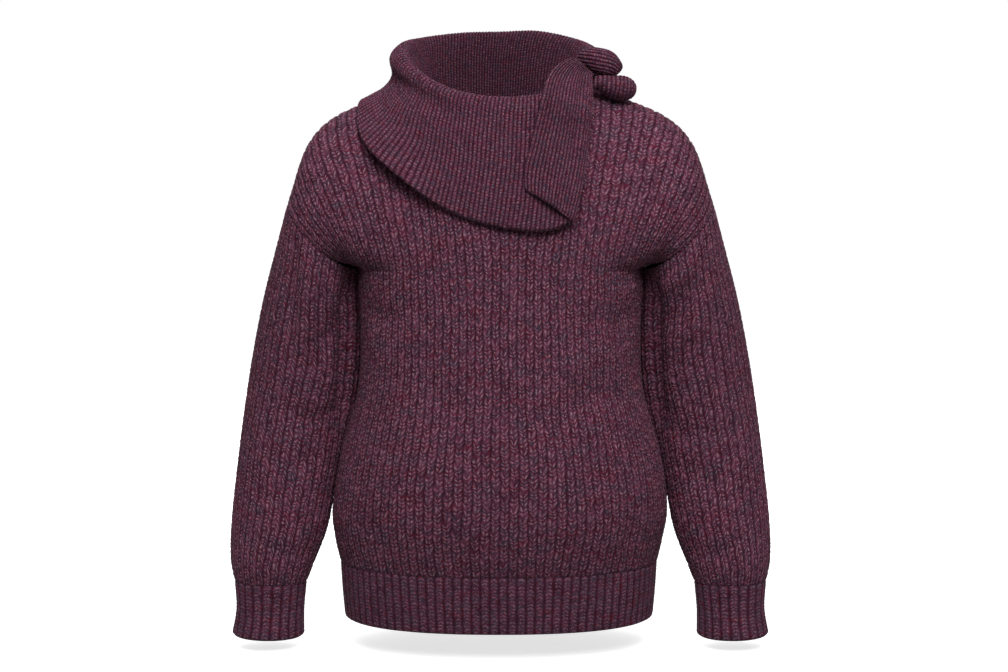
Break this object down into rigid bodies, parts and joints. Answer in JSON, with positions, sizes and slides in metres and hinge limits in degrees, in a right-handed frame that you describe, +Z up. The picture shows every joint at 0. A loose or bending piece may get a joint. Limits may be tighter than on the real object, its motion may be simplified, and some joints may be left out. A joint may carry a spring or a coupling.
{
  "type": "sweater",
  "caption": "Hollow pullover in thick rib knit with dropped shoulders, full long sleeves, a deep hem band and a folded collar tied in a knot at one side.",
  "frame": {"origin": "middle of the neck, level with the points where the shoulder seams meet the neckline, where the wearer's shoulders carry it", "axes": "+Z up, front of the sweater facing -Y, +X towards the wearer's left"},
  "size_m": [0.6456, 0.2692, 0.7273],
  "materials": {
    "body_knit": "thick marled rib knit, plum",
    "band_knit": "close marled rib knit, plum",
    "collar_knit": "fine marled rib knit, plum"
  },
  "bodies": {
    "root": {"front_panel": "body_knit", "back_panel": "body_knit", "hem_band": "band_knit", "left_sleeve": "body_knit", "right_sleeve": "body_knit", "left_cuff": "band_knit", "right_cuff": "band_knit", "collar": "collar_knit", "front_tie": "collar_knit", "knot_loop": "collar_knit", "knot_end": "collar_knit"}
  },
  "joints": []
}
